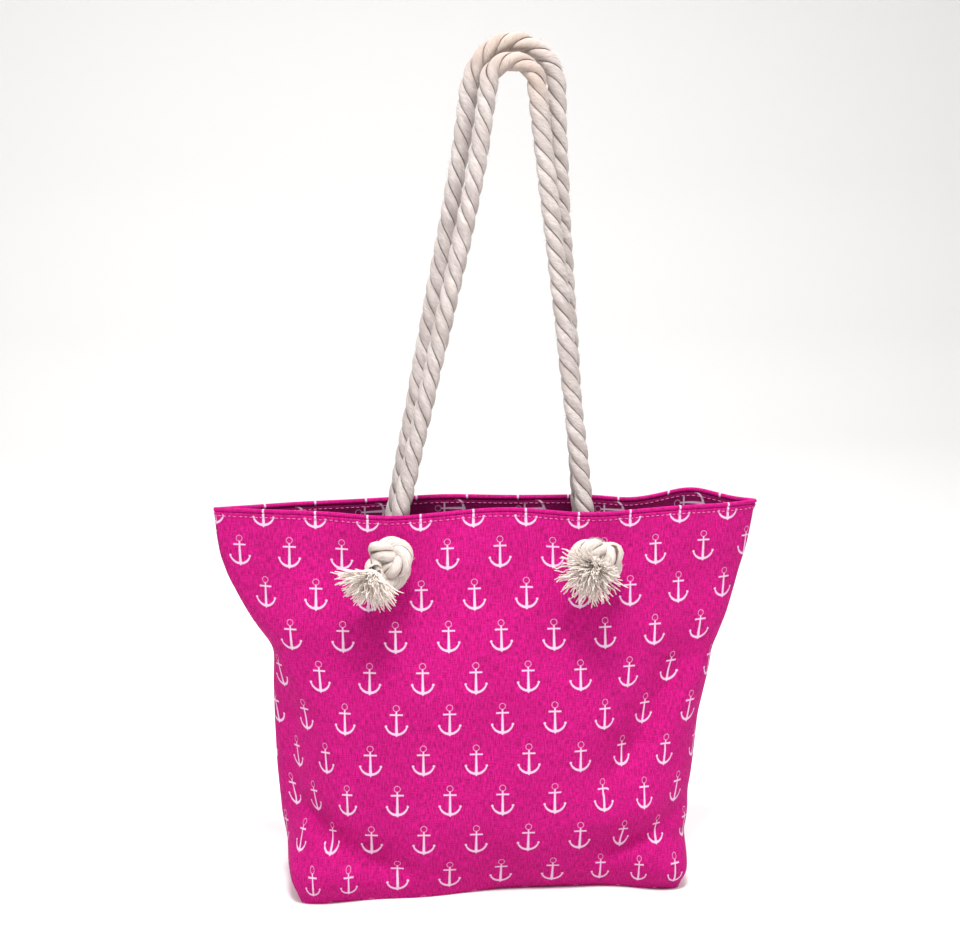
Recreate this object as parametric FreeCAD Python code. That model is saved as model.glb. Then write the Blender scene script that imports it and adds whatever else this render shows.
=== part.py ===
import FreeCAD, Part
import math
import os

# Soft beach bag of printed canvas with two carrying handles of thick twisted rope.
# Millimetres. The bag stands on its base with the origin at the middle of the base,
# +Z up, its front towards -Y, and +X to the right of someone who faces the front.

from FreeCAD import Vector

# Cloth
CANVAS = 1.2
LINING = 0.8
BASE_GAP = 2.0
RIM_Z = 318.0
HEM_TOP_Z = 322.0
HEM_PROUD = 0.6
STITCH_Z = 312.0
STITCH_HEIGHT = 0.8
STITCH_PROUD = 0.4
SEAM_TAPE = 1.2
SEAM_TAPE_WIDTH = 8.0
CORNER_SEAM = 44.0
LINING_TIP_INSET = 12.0

# Outline of the filled-out bag: height, half width, half depth, boxiness.
# Boxiness runs from 0, two flat panels that meet in a pointed lens, to 1, a rounded box.
LEVELS = [
    (0.0, 150.0, 42.0, 1.0),
    (8.0, 158.0, 51.0, 1.0),
    (26.0, 164.0, 58.0, 1.0),
    (60.0, 169.0, 61.0, 1.0),
    (110.0, 172.0, 61.0, 1.0),
    (160.0, 175.0, 58.0, 0.9),
    (200.0, 180.0, 53.0, 0.7),
    (235.0, 199.0, 46.5, 0.3),
    (262.0, 213.0, 42.5, 0.1),
    (318.0, 225.0, 37.0, 0.0),
]
LENS_POWER_X = 2.0
LENS_POWER_Y = 1.0
BOX_POWER = 4.5
SECTION_SPANS = 16

# Eyelets that the rope passes through
EYELET_X = 84.0
EYELET_Z = 285.0
BORE_R = 9.4
BARREL_R = 10.2
FLANGE_R = 13.5
FLANGE = 1.0
FLANGE_GAP = 0.4
WASHER_GAP = 1.2
BARREL_LIP = 0.4

# Rope, and the knot and frayed end outside each eyelet
ROPE_R = 7.5
SPLIT_Z = 320.0
ARC_SHARE = 0.45
KNOT_R = 18.5
KNOT_OUT = 12.0
TASSEL_R_KNOT = 6.0
TASSEL_R_TIP = 17.0
TASSEL_REACH = 44.0

# Each route runs from the knot outside the left eyelet, in through it, up one leg,
# over the top, down the other leg and out of the right eyelet.
FRONT_ROUTE = [
    (-86.0, -54.5, 287.0),
    (-82.5, -21.5, 283.0),
    (-8.0, -10.0, 600.0),
    (4.0, -7.0, 677.0),
    (21.0, -6.0, 686.5),
    (38.0, -7.0, 677.0),
    (45.0, -10.0, 602.0),
    (82.5, -21.5, 283.0),
    (86.0, -54.5, 287.0),
]
BACK_ROUTE = [
    (-86.0, 54.5, 287.0),
    (-82.5, 21.5, 283.0),
    (-47.0, 15.0, 474.0),
    (-19.0, 10.0, 622.0),
    (-13.5, 8.0, 680.0),
    (20.5, 7.0, 703.0),
    (55.5, 8.0, 681.0),
    (57.0, 9.0, 640.0),
    (62.0, 12.0, 540.0),
    (82.5, 21.5, 283.0),
    (86.0, 54.5, 287.0),
]

# Which way each frayed end points from its knot
TASSEL_WAY = {
    "front_left": (-19.0, -15.0, -26.0),
    "front_right": (-11.0, -19.0, -10.0),
    "back_left": (-8.0, 14.0, -26.0),
    "back_right": (12.0, 12.0, -26.0),
}

FAR = 1000.0


def section_sizes(z):
    """Half width, half depth and boxiness at height z, straight between the levels."""
    for low, high in zip(LEVELS, LEVELS[1:]):
        if z <= high[0]:
            share = max(0.0, (z - low[0]) / (high[0] - low[0]))
            return tuple(a + share * (b - a) for a, b in zip(low[1:], high[1:]))
    return LEVELS[-1][1:]


def section_powers(boxiness):
    power_x = LENS_POWER_X + boxiness * (BOX_POWER - LENS_POWER_X)
    power_y = LENS_POWER_Y + boxiness * (BOX_POWER - LENS_POWER_Y)
    return power_x, power_y


def section_wire(z, inset, tip_inset):
    """Closed outline at height z: a front curve and a back curve that meet at the sides."""
    half_width, half_depth, boxiness = section_sizes(z)
    # a pointed side moves in further than the cloth is thick
    half_width -= inset * (3.0 - 2.0 * boxiness) + tip_inset * (1.0 - boxiness)
    half_depth -= inset
    power_x, power_y = section_powers(boxiness)
    edges = []
    for first in (0, SECTION_SPANS):
        points = []
        for step in range(first, first + SECTION_SPANS + 1):
            angle = math.pi * step / SECTION_SPANS
            cosine = 0.0 if abs(math.cos(angle)) < 1e-9 else math.cos(angle)
            sine = 0.0 if abs(math.sin(angle)) < 1e-9 else math.sin(angle)
            x = half_width * math.copysign(abs(cosine) ** (2.0 / power_x), cosine)
            y = half_depth * math.copysign(abs(sine) ** (2.0 / power_y), sine)
            points.append(Vector(x, y, z))
        curve = Part.BSplineCurve()
        curve.interpolate(points)
        edges.append(curve.toShape())
    return Part.Wire(edges)


def bag_solid(inset, floor, top, tip_inset=0.0):
    """The bag's outer form, drawn in by inset, between two heights."""
    between = [level[0] for level in LEVELS if floor < level[0] < top]
    heights = [floor] + between + [top]
    wires = [section_wire(z, inset, tip_inset) for z in heights]
    return Part.makeLoft(wires, True, True)


def half_space(side):
    """Everything in front (side -1) or behind (side +1) of the seams."""
    corner = Vector(-FAR, 0.0 if side > 0 else -FAR, -FAR)
    return Part.makeBox(2.0 * FAR, FAR, 2.0 * FAR, corner)


def surface_y(x, z):
    """Half depth of the canvas at x and z."""
    half_width, half_depth, boxiness = section_sizes(z)
    power_x, power_y = section_powers(boxiness)
    return half_depth * (1.0 - (abs(x) / half_width) ** power_x) ** (1.0 / power_y)


def eyelet_frame(side, x):
    """Placement on the canvas with its Z axis along the outward normal."""
    step = 1.0
    slope_x = (surface_y(x + step, EYELET_Z) - surface_y(x - step, EYELET_Z)) / (2.0 * step)
    slope_z = (surface_y(x, EYELET_Z + step) - surface_y(x, EYELET_Z - step)) / (2.0 * step)
    normal = Vector(-slope_x, side, -slope_z)
    turn = FreeCAD.Rotation(Vector(0.0, 0.0, 1.0), normal)
    return FreeCAD.Placement(Vector(x, side * surface_y(x, EYELET_Z), EYELET_Z), turn)


def tube(outer_r, inner_r, low, high):
    height = high - low
    outer = Part.makeCylinder(outer_r, height, Vector(0.0, 0.0, low))
    return outer.cut(Part.makeCylinder(inner_r, height, Vector(0.0, 0.0, low)))


def placed(shape, frame):
    copy = shape.copy()
    copy.Placement = frame
    return copy


def eyelet(frame):
    """Barrel through both cloths with a flange outside."""
    inside = -(CANVAS + LINING + WASHER_GAP + FLANGE + BARREL_LIP)
    barrel = tube(BARREL_R, BORE_R, inside, FLANGE_GAP + FLANGE)
    flange = tube(FLANGE_R, BORE_R, FLANGE_GAP, FLANGE_GAP + FLANGE)
    return placed(barrel.fuse(flange).removeSplitter(), frame)


def eyelet_washer(frame):
    outside = -(CANVAS + LINING + WASHER_GAP)
    return placed(tube(FLANGE_R, BARREL_R, outside - FLANGE, outside), frame)


def eyelet_hole(frame):
    return placed(Part.makeCylinder(BARREL_R, 40.0, Vector(0.0, 0.0, -20.0)), frame)


def route_path(name, route):
    """Straight runs joined by tangent arcs, as large as the runs allow."""
    points = [Vector(*point) for point in route]
    edges = []
    reached = points[0]
    radii = []
    for before, here, after in zip(points, points[1:], points[2:]):
        back = (before - here).normalize()
        ahead = (after - here).normalize()
        turn = math.pi - back.getAngle(ahead)
        setback = ARC_SHARE * min((before - here).Length, (after - here).Length)
        radius = setback / math.tan(turn / 2.0)
        radii.append(radius)
        start = here + back * setback
        end = here + ahead * setback
        inward = (back + ahead).normalize()
        middle = here + inward * (radius / math.cos(turn / 2.0) - radius)
        edges.append(Part.LineSegment(reached, start).toShape())
        edges.append(Part.Arc(start, middle, end).toShape())
        reached = end
    edges.append(Part.LineSegment(reached, points[-1]).toShape())
    path = Part.Wire(edges)
    print(name, "length %.1f, radii" % path.Length, ["%.0f" % radius for radius in radii])
    return path


def rope_tube(name, route):
    path = route_path(name, route)
    start = Vector(*route[0])
    section = Part.Wire(Part.makeCircle(ROPE_R, start, Vector(*route[1]) - start))
    solid = path.makePipeShell([section], True, False)
    expected = math.pi * ROPE_R ** 2 * path.Length
    print(name, "volume share of section times length %.4f" % (solid.Volume / expected))
    return solid


def outside_of(frame):
    """Everything beyond the flange's face."""
    face = FLANGE_GAP + FLANGE
    corner = Vector(-FAR, -FAR, face)
    return placed(Part.makeBox(2.0 * FAR, 2.0 * FAR, FAR, corner), frame)


def knot(frame):
    centre = Vector(0.0, 0.0, FLANGE_GAP + FLANGE + KNOT_OUT)
    ball = placed(Part.makeSphere(KNOT_R, centre), frame)
    return ball.common(outside_of(frame))


def tassel(frame, way, knot_shape, bag):
    centre = frame.multVec(Vector(0.0, 0.0, FLANGE_GAP + FLANGE + KNOT_OUT))
    cone = Part.makeCone(TASSEL_R_KNOT, TASSEL_R_TIP, TASSEL_REACH, centre, Vector(*way))
    return cone.cut(knot_shape).common(outside_of(frame)).cut(bag)


def largest(shape):
    """The one real solid of a cut, without slivers."""
    return max(shape.Solids, key=lambda solid: solid.Volume)


def cloth_parts(parts, outer, canvas_inner, lining_outer, lining_inner):
    """Canvas panels, lining, hem and the hem's line of stitching, front and back."""
    canvas = outer.cut(canvas_inner)
    lining = lining_outer.cut(lining_inner)
    hem_inset = CANVAS + LINING + HEM_PROUD
    hem = bag_solid(-HEM_PROUD, RIM_Z, HEM_TOP_Z).cut(bag_solid(hem_inset, RIM_Z, HEM_TOP_Z))
    stitch_top = STITCH_Z + STITCH_HEIGHT
    stitching = bag_solid(-STITCH_PROUD, STITCH_Z, stitch_top).cut(outer)
    for name, side in (("front", -1.0), ("back", 1.0)):
        half = half_space(side)
        parts[name + "_panel"] = canvas.common(half)
        parts[name + "_lining"] = lining.common(half)
        parts[name + "_rim_hem"] = largest(hem.common(half))
        parts[name + "_rim_stitching"] = largest(stitching.common(half))


def seam_parts(parts, canvas_inner, lining_outer):
    """Seam allowances, which lie folded between the canvas and the lining."""
    wing_low_z = 206.0
    wing_high_z = RIM_Z - 2.0
    for name, side in (("left", -1.0), ("right", 1.0)):
        low_x = section_sizes(wing_low_z)[0] - 4.5
        high_x = section_sizes(wing_high_z)[0] - 5.5
        corners = [
            Vector(side * low_x, -SEAM_TAPE / 2.0, wing_low_z),
            Vector(side * high_x, -SEAM_TAPE / 2.0, wing_high_z),
            Vector(side * (high_x - SEAM_TAPE_WIDTH), -SEAM_TAPE / 2.0, wing_high_z),
            Vector(side * (low_x - 2.0), -SEAM_TAPE / 2.0, wing_low_z),
        ]
        strip = Part.Face(Part.makePolygon(corners + corners[:1])).extrude(Vector(0.0, SEAM_TAPE, 0.0))
        parts[name + "_side_seam"] = largest(strip.common(canvas_inner).cut(lining_outer))
        corner_x = side * (section_sizes(0.0)[0] - SEAM_TAPE_WIDTH)
        corner = Vector(corner_x - SEAM_TAPE_WIDTH / 2.0, -CORNER_SEAM / 2.0, CANVAS)
        parts[name + "_corner_seam"] = Part.makeBox(SEAM_TAPE_WIDTH, CORNER_SEAM, SEAM_TAPE, corner)
    half_length = section_sizes(0.0)[0] - 1.5 * SEAM_TAPE_WIDTH
    corner = Vector(-half_length, -SEAM_TAPE_WIDTH / 2.0, CANVAS)
    parts["base_seam"] = Part.makeBox(2.0 * half_length, SEAM_TAPE_WIDTH, SEAM_TAPE, corner)


def fitting_parts(parts, outer):
    """Eyelets, washers, knots and frayed ends, and the holes that the eyelets sit in."""
    for name, side in (("front", -1.0), ("back", 1.0)):
        for hand, x in (("left", -EYELET_X), ("right", EYELET_X)):
            place = name + "_" + hand
            frame = eyelet_frame(side, x)
            parts[place + "_eyelet"] = eyelet(frame)
            parts[place + "_eyelet_washer"] = eyelet_washer(frame)
            parts[place + "_knot"] = knot(frame)
            way = TASSEL_WAY[place]
            parts[place + "_tassel"] = largest(tassel(frame, way, parts[place + "_knot"], outer))
            for cloth in ("_panel", "_lining"):
                parts[name + cloth] = parts[name + cloth].cut(eyelet_hole(frame))


def rope_parts(parts):
    """Each rope: the handle above the rim, and the two ends that run to the knots."""
    above = Part.makeBox(2.0 * FAR, 2.0 * FAR, FAR, Vector(-FAR, -FAR, SPLIT_Z))
    for name, side, route in (("front", -1.0, FRONT_ROUTE), ("back", 1.0, BACK_ROUTE)):
        rope = rope_tube(name, route)
        parts[name + "_handle_rope"] = largest(rope.common(above))
        below = rope.cut(above)
        for hand, sign in (("left", -1.0), ("right", 1.0)):
            frame = eyelet_frame(side, sign * EYELET_X)
            ends = [piece for piece in below.Solids if piece.CenterOfMass.x * sign > 0.0]
            parts[name + "_" + hand + "_rope_end"] = largest(ends[0].cut(outside_of(frame)))


def make_parts():
    parts = {}
    outer = bag_solid(0.0, 0.0, RIM_Z)
    canvas_inner = bag_solid(CANVAS, CANVAS, RIM_Z)
    lining_floor = CANVAS + BASE_GAP
    lining_outer = bag_solid(CANVAS, lining_floor, RIM_Z, LINING_TIP_INSET)
    lining_inner = bag_solid(CANVAS + LINING, lining_floor + LINING, RIM_Z, LINING_TIP_INSET)
    cloth_parts(parts, outer, canvas_inner, lining_outer, lining_inner)
    seam_parts(parts, canvas_inner, lining_outer)
    fitting_parts(parts, outer)
    rope_parts(parts)
    return parts


os.makedirs("parts", exist_ok=True)
for node, shape in make_parts().items():
    box = shape.BoundBox
    print(
        "%-28s solids %d valid %s volume %9.0f  x %.0f..%.0f y %.0f..%.0f z %.0f..%.0f"
        % (node, len(shape.Solids), shape.isValid(), shape.Volume,
           box.XMin, box.XMax, box.YMin, box.YMax, box.ZMin, box.ZMax)
    )
    shape.exportStep("parts/" + node + ".step")
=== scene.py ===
import math

import bpy
import numpy as np
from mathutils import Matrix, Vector


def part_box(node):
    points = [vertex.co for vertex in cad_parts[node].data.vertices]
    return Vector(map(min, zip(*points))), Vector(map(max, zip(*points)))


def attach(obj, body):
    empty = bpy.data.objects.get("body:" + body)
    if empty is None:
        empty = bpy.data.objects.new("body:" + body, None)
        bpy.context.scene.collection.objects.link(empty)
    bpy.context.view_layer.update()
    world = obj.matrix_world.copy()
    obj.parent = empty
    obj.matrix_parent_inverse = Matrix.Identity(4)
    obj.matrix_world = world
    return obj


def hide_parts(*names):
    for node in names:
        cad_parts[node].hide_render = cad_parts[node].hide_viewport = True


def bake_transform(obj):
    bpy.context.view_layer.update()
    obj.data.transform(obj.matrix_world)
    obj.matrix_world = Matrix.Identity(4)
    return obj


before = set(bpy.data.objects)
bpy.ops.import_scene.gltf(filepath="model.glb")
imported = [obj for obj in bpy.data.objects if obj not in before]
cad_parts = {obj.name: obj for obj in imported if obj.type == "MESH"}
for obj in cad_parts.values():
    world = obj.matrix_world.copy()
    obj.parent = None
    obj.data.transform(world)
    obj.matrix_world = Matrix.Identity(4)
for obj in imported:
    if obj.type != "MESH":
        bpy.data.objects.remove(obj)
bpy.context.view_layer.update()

# Metres, in the part's own frame: origin at the middle of the base, front towards -Y.
MM = 0.001
QUARTER_TURN = math.pi / 2.0
FULL_TURN = 2.0 * math.pi
FRONT, BACK = -1.0, 1.0
PLACES = ("front_left", "front_right", "back_left", "back_right")
rng = np.random.default_rng(20)


# Camera and light

def add_camera():
    """A long lens, a little to the left of the front and looking slightly down."""
    azimuth = math.radians(-4.9)
    elevation = math.radians(9.5)
    distance = 1.622
    target = Vector((-0.0068, 0.0, 0.3531))
    away = Vector((
        math.sin(azimuth) * math.cos(elevation),
        -math.cos(azimuth) * math.cos(elevation),
        math.sin(elevation),
    ))
    data = bpy.data.cameras.new("camera")
    data.lens = 73.5
    data.sensor_width = 36.0
    camera = bpy.data.objects.new("camera", data)
    camera.location = target + away * distance
    camera.rotation_euler = (QUARTER_TURN - elevation, 0.0, azimuth)
    bpy.context.collection.objects.link(camera)
    bpy.context.scene.camera = camera


def add_area_light(name, place, aim, size, watts, colour):
    data = bpy.data.lights.new(name, "AREA")
    data.shape = "DISK"
    data.size = size
    data.energy = watts
    data.color = colour
    light = bpy.data.objects.new(name, data)
    light.location = place
    light.rotation_euler = (Vector(aim) - Vector(place)).to_track_quat("-Z", "Y").to_euler()
    bpy.context.collection.objects.link(light)


def add_lights():
    add_area_light("key", (-0.08, -0.85, 1.95), (0.0, 0.0, 0.25), 0.5, 36.0, (1.0, 0.98, 0.96))
    add_area_light("left", (-0.95, -0.95, 1.85), (-0.1, 0.0, 0.3), 0.6, 12.0, (0.98, 0.98, 1.0))
    add_area_light("right", (1.05, -0.90, 1.75), (0.1, 0.0, 0.3), 0.7, 12.5, (1.0, 0.98, 0.97))
    add_area_light("top", (0.0, 0.9, 1.9), (0.0, 0.4, 0.3), 1.2, 26.0, (1.0, 1.0, 1.0))
    world = bpy.data.worlds.new("studio")
    world.use_nodes = True
    background = world.node_tree.nodes["Background"]
    background.inputs["Color"].default_value = (1.0, 0.99, 0.98, 1.0)
    background.inputs["Strength"].default_value = 0.38
    bpy.context.scene.world = world


# Mesh helpers

def new_object(name, vertices, faces, material, uvs=None):
    """A smooth-shaded mesh. uvs holds one point per vertex."""
    mesh = bpy.data.meshes.new(name)
    mesh.from_pydata(np.asarray(vertices).tolist(), [], np.asarray(faces).tolist())
    if uvs is not None:
        corners = np.empty(len(mesh.loops), dtype=np.int32)
        mesh.loops.foreach_get("vertex_index", corners)
        layer = mesh.uv_layers.new(name="cloth")
        layer.data.foreach_set("uv", np.asarray(uvs)[corners].astype(np.float32).ravel())
    mesh.polygons.foreach_set("use_smooth", np.ones(len(mesh.polygons), dtype=bool))
    mesh.materials.append(material)
    mesh.validate()
    obj = bpy.data.objects.new(name, mesh)
    bpy.context.collection.objects.link(obj)
    return obj


def grid_faces(rows, columns, closed=False):
    """Quads over a grid of rows, whose columns wrap round if closed."""
    row, column = np.meshgrid(np.arange(rows - 1), np.arange(columns - (not closed)), indexing="ij")
    after = (column + 1) % columns
    start, end = row * columns + column, row * columns + after
    return np.stack([start, end, end + columns, start + columns], -1).reshape(-1, 4)


def side_by_side(parts):
    """Several meshes' vertices, faces and uvs joined into one of each."""
    vertices, faces, uvs = zip(*parts)
    starts = np.cumsum([0] + [len(part) for part in vertices[:-1]])
    shifted = [part + start for part, start in zip(faces, starts)]
    return np.concatenate(vertices), np.concatenate(shifted), np.concatenate(uvs)


def stand_in(piece, slot, *nodes, body="root"):
    """Puts a visible piece in the place of the frame's nodes, on a body."""
    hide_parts(*nodes)
    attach(piece, body)


def unit(vectors):
    return vectors / np.maximum(np.linalg.norm(vectors, axis=-1, keepdims=True), 1e-12)


def smooth_step(values, low, high):
    share = np.clip((values - low) / (high - low), 0.0, 1.0)
    return share * share * (3.0 - 2.0 * share)


def evenly_spaced(points, step):
    """Points along a polyline at one distance from each other."""
    along = np.concatenate([[0.0], np.cumsum(np.linalg.norm(np.diff(points, axis=0), axis=1))])
    stations = np.linspace(0.0, along[-1], max(2, int(round(along[-1] / step)) + 1))
    return np.stack([np.interp(stations, along, points[:, k]) for k in range(3)], 1), stations


def nurbs_points(name, route):
    """Points read from a smooth curve that has the route as its control points."""
    data = bpy.data.curves.new(name, "CURVE")
    data.dimensions = "3D"
    data.resolution_u = 32
    spline = data.splines.new("NURBS")
    spline.points.add(len(route) - 1)
    for point, place in zip(spline.points, route):
        point.co = (*place, 1.0)
    spline.order_u = 3
    spline.use_endpoint_u = True
    curve = bpy.data.objects.new(name, data)
    bpy.context.collection.objects.link(curve)
    bpy.context.view_layer.update()
    evaluated = curve.evaluated_get(bpy.context.evaluated_depsgraph_get())
    mesh = bpy.data.meshes.new_from_object(evaluated)
    points = np.array([vertex.co[:] for vertex in mesh.vertices])
    bpy.data.meshes.remove(mesh)
    bpy.data.objects.remove(curve)
    return points


def carried_axes(points):
    """A tangent and two side axes at each point, carried along without twist."""
    tangents = unit(np.gradient(points, axis=0))
    side = np.cross(tangents[0], (0.0, 1.0, 0.0))
    if np.linalg.norm(side) < 0.2:
        side = np.cross(tangents[0], (1.0, 0.0, 0.0))
    sides = []
    for tangent in tangents:
        side = side - tangent * np.dot(side, tangent)
        side = side / np.linalg.norm(side)
        sides.append(side)
    sides = np.array(sides)
    return tangents, sides, np.cross(tangents, sides)


def tube_rings(line, first, second, around, radius):
    """Rings of points round a line, with a radius at each of its points."""
    right = np.cos(around)[None, :, None] * first[:, None, :]
    up = np.sin(around)[None, :, None] * second[:, None, :]
    return line[:, None, :] + radius[:, None, None] * (right + up)


# Rope

ROPE_DIAMETER = 15.0 * MM
ROPE_LAY = 48.0 * MM
STRANDS = 3
YARN_RIDGES = 11
STRAND_SIDES = 44
ROPE_STEP = 1.6 * MM
# Three flattened strands that press on each other and fill the rope's circle, as shares of its diameter.
STRAND_OFFSET = 0.245
STRAND_OUT = 0.255
STRAND_ACROSS = 0.295

# The routes of the frame's rope solids, with a few points added and moved.
FRONT_ROUTE = [
    (-0.0860, -0.0545, 0.2870),
    (-0.0825, -0.0215, 0.2830),
    (-0.0750, -0.0203, 0.3151),
    (-0.0258, -0.0127, 0.5242),
    (-0.0095, -0.0100, 0.6000),
    (-0.0015, -0.0078, 0.6570),
    (0.0010, -0.0070, 0.6750),
    (0.0190, -0.0060, 0.6835),
    (0.0370, -0.0070, 0.6745),
    (0.0390, -0.0078, 0.6570),
    (0.0450, -0.0100, 0.6020),
    (0.0538, -0.0127, 0.5272),
    (0.0786, -0.0203, 0.3163),
    (0.0825, -0.0215, 0.2830),
    (0.0860, -0.0545, 0.2870),
]
BACK_ROUTE = [
    (-0.0860, 0.0545, 0.2870),
    (-0.0825, 0.0215, 0.2830),
    (-0.0764, 0.0204, 0.3160),
    (-0.0470, 0.0150, 0.4740),
    (-0.0190, 0.0100, 0.6220),
    (-0.0135, 0.0080, 0.6800),
    (0.0205, 0.0070, 0.7030),
    (0.0555, 0.0080, 0.6810),
    (0.0570, 0.0090, 0.6400),
    (0.0591, 0.0102, 0.5990),
    (0.0620, 0.0120, 0.5400),
    (0.0700, 0.0157, 0.4403),
    (0.0798, 0.0203, 0.3164),
    (0.0825, 0.0215, 0.2830),
    (0.0860, 0.0545, 0.2870),
]

FIBRE_POINTS = 5
FIBRE_SIDES = 3
FIBRE_RADIUS = 0.17 * MM
HANDLE_FIBRES = 900
HANDLE_FIBRES_ABOVE = 0.335


def stray_fibres(points, diameter, count, low):
    """Short loose fibres that stand off the rope above a height, each as a thin tapering tube."""
    tangents, first, second = carried_axes(points)
    share = np.linspace(0.0, 1.0, FIBRE_POINTS)
    around = np.linspace(0.0, FULL_TURN, FIBRE_SIDES, endpoint=False)
    above = np.flatnonzero(points[:, 2] > low)
    faces = grid_faces(FIBRE_POINTS, FIBRE_SIDES, closed=True)
    crest = np.tile((0.0, 0.1), (FIBRE_POINTS * FIBRE_SIDES, 1))
    tubes = []
    for place in rng.choice(above, count):
        angle = rng.uniform(0.0, FULL_TURN)
        outward = math.cos(angle) * first[place] + math.sin(angle) * second[place]
        sideways = math.cos(angle) * second[place] - math.sin(angle) * first[place]
        lean = rng.uniform(-1.0, 1.0, 3)
        length = rng.uniform(1.8, 4.4) * MM
        way = 0.7 * outward + lean[0] * tangents[place] + 0.8 * lean[1] * sideways
        tube = points[place] + 0.44 * diameter * outward + way * (share * length)[:, None]
        tube = tube + tangents[place] * (lean[2] * 0.5 * length * share ** 2)[:, None]
        _, one, other = carried_axes(tube)
        rings = tube_rings(tube, one, other, around, FIBRE_RADIUS * (1.0 - 0.6 * share))
        tubes.append((rings.reshape(-1, 3), faces, crest))
    return tubes


def rope_object(name, line, diameter, lay, material, phase, fibres, fibres_above=0.0):
    """Three strands laid round a line, left-handed, each with its yarns as fine ridges, and loose fibres."""
    points, along = evenly_spaced(line, ROPE_STEP)
    _, first, second = carried_axes(points)
    swell = 1.02 + 0.03 * np.sin(along / (37.0 * MM) + phase)
    swell = swell + 0.02 * np.sin(along / (11.0 * MM) + 2.0 * phase)
    swell = swell + 0.05 * np.exp(-(((along - 0.5 * along[-1]) / (110.0 * MM)) ** 2))
    offset = diameter * STRAND_OFFSET
    strand_faces = grid_faces(len(points), STRAND_SIDES, closed=True)
    parts = []
    for strand in range(STRANDS):
        angle = phase + FULL_TURN * (strand / STRANDS - along / lay)
        outward = np.cos(angle)[:, None] * first + np.sin(angle)[:, None] * second
        centres = points + outward * (offset * swell)[:, None]
        heading = unit(np.gradient(centres, axis=0))
        outward = unit(outward - heading * (outward * heading).sum(1, keepdims=True))
        across = np.cross(heading, outward)
        around = math.pi + np.linspace(0.0, FULL_TURN, STRAND_SIDES, endpoint=False)
        yarn_turn = FULL_TURN * along / (1.25 * lay)
        ridges = np.abs(np.sin(0.5 * YARN_RIDGES * (around[None, :] + yarn_turn[:, None])))
        radius = diameter * swell[:, None] * (0.97 + 0.055 * ridges)
        ring = (
            centres[:, None, :]
            + outward[:, None, :] * (STRAND_OUT * radius * np.cos(around))[:, :, None]
            + across[:, None, :] * (STRAND_ACROSS * radius * np.sin(around))[:, :, None]
        )
        cloth_u = np.broadcast_to(around / FULL_TURN, ring.shape[:2])
        cloth_v = np.broadcast_to(along[:, None], ring.shape[:2])
        parts.append((ring.reshape(-1, 3), strand_faces, np.stack([cloth_u, cloth_v], -1).reshape(-1, 2)))
    parts += stray_fibres(points, diameter, fibres, fibres_above)
    vertices, faces, uvs = side_by_side(parts)
    return new_object(name, vertices, faces, material, uvs)


# Materials

class ShaderMaths:
    """Writes shader nodes as calls, on sockets or plain numbers."""

    def __init__(self, material):
        self.tree = material.node_tree
        self.shader = self.tree.nodes["Principled BSDF"]

    def connect(self, socket, value):
        if isinstance(value, (int, float, tuple)):
            socket.default_value = value
        else:
            self.tree.links.new(value, socket)

    def maths(self, operation, *values, clamp=False):
        node = self.tree.nodes.new("ShaderNodeMath")
        node.operation = operation
        node.use_clamp = clamp
        for socket, value in zip(node.inputs, values):
            self.connect(socket, value)
        return node.outputs[0]

    def add(self, a, b):
        return self.maths("ADD", a, b)

    def subtract(self, a, b):
        return self.maths("SUBTRACT", a, b)

    def times(self, a, b):
        return self.maths("MULTIPLY", a, b)

    def least(self, first, *others):
        for other in others:
            first = self.maths("MINIMUM", first, other)
        return first

    def greatest(self, first, *others):
        for other in others:
            first = self.maths("MAXIMUM", first, other)
        return first

    def size(self, value):
        return self.maths("ABSOLUTE", value)

    def distance(self, x, y):
        return self.maths("SQRT", self.add(self.times(x, x), self.times(y, y)))

    def cloth_place(self):
        """The two cloth coordinates, in millimetres."""
        source = self.tree.nodes.new("ShaderNodeUVMap")
        source.uv_map = "cloth"
        split = self.tree.nodes.new("ShaderNodeSeparateXYZ")
        self.tree.links.new(source.outputs["UV"], split.inputs[0])
        return self.times(split.outputs["X"], 1.0 / MM), self.times(split.outputs["Y"], 1.0 / MM)

    def noise(self, x, y, detail=2.0, roughness=0.5, z=0.0):
        """Noise from 0 to 1, whose grains are about one unit of x and y."""
        join = self.tree.nodes.new("ShaderNodeCombineXYZ")
        self.connect(join.inputs["X"], x)
        self.connect(join.inputs["Y"], y)
        self.connect(join.inputs["Z"], z)
        node = self.tree.nodes.new("ShaderNodeTexNoise")
        node.inputs["Scale"].default_value = 1.0
        node.inputs["Detail"].default_value = detail
        node.inputs["Roughness"].default_value = roughness
        self.tree.links.new(join.outputs[0], node.inputs["Vector"])
        return node.outputs[0]

    def ranged(self, value, low, high, to_low=0.0, to_high=1.0):
        node = self.tree.nodes.new("ShaderNodeMapRange")
        node.interpolation_type = "SMOOTHSTEP"
        for socket, number in zip(node.inputs, (value, low, high, to_low, to_high)):
            self.connect(socket, number)
        return node.outputs[0]

    def mixed(self, share, first, second):
        node = self.tree.nodes.new("ShaderNodeMix")
        node.data_type = "RGBA"
        self.connect(node.inputs[0], share)
        self.connect(node.inputs[6], first)
        self.connect(node.inputs[7], second)
        return node.outputs[2]

    def bump(self, height, distance, strength=1.0):
        node = self.tree.nodes.new("ShaderNodeBump")
        node.inputs["Distance"].default_value = distance
        node.inputs["Strength"].default_value = strength
        self.tree.links.new(height, node.inputs["Height"])
        self.tree.links.new(node.outputs[0], self.shader.inputs["Normal"])


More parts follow.
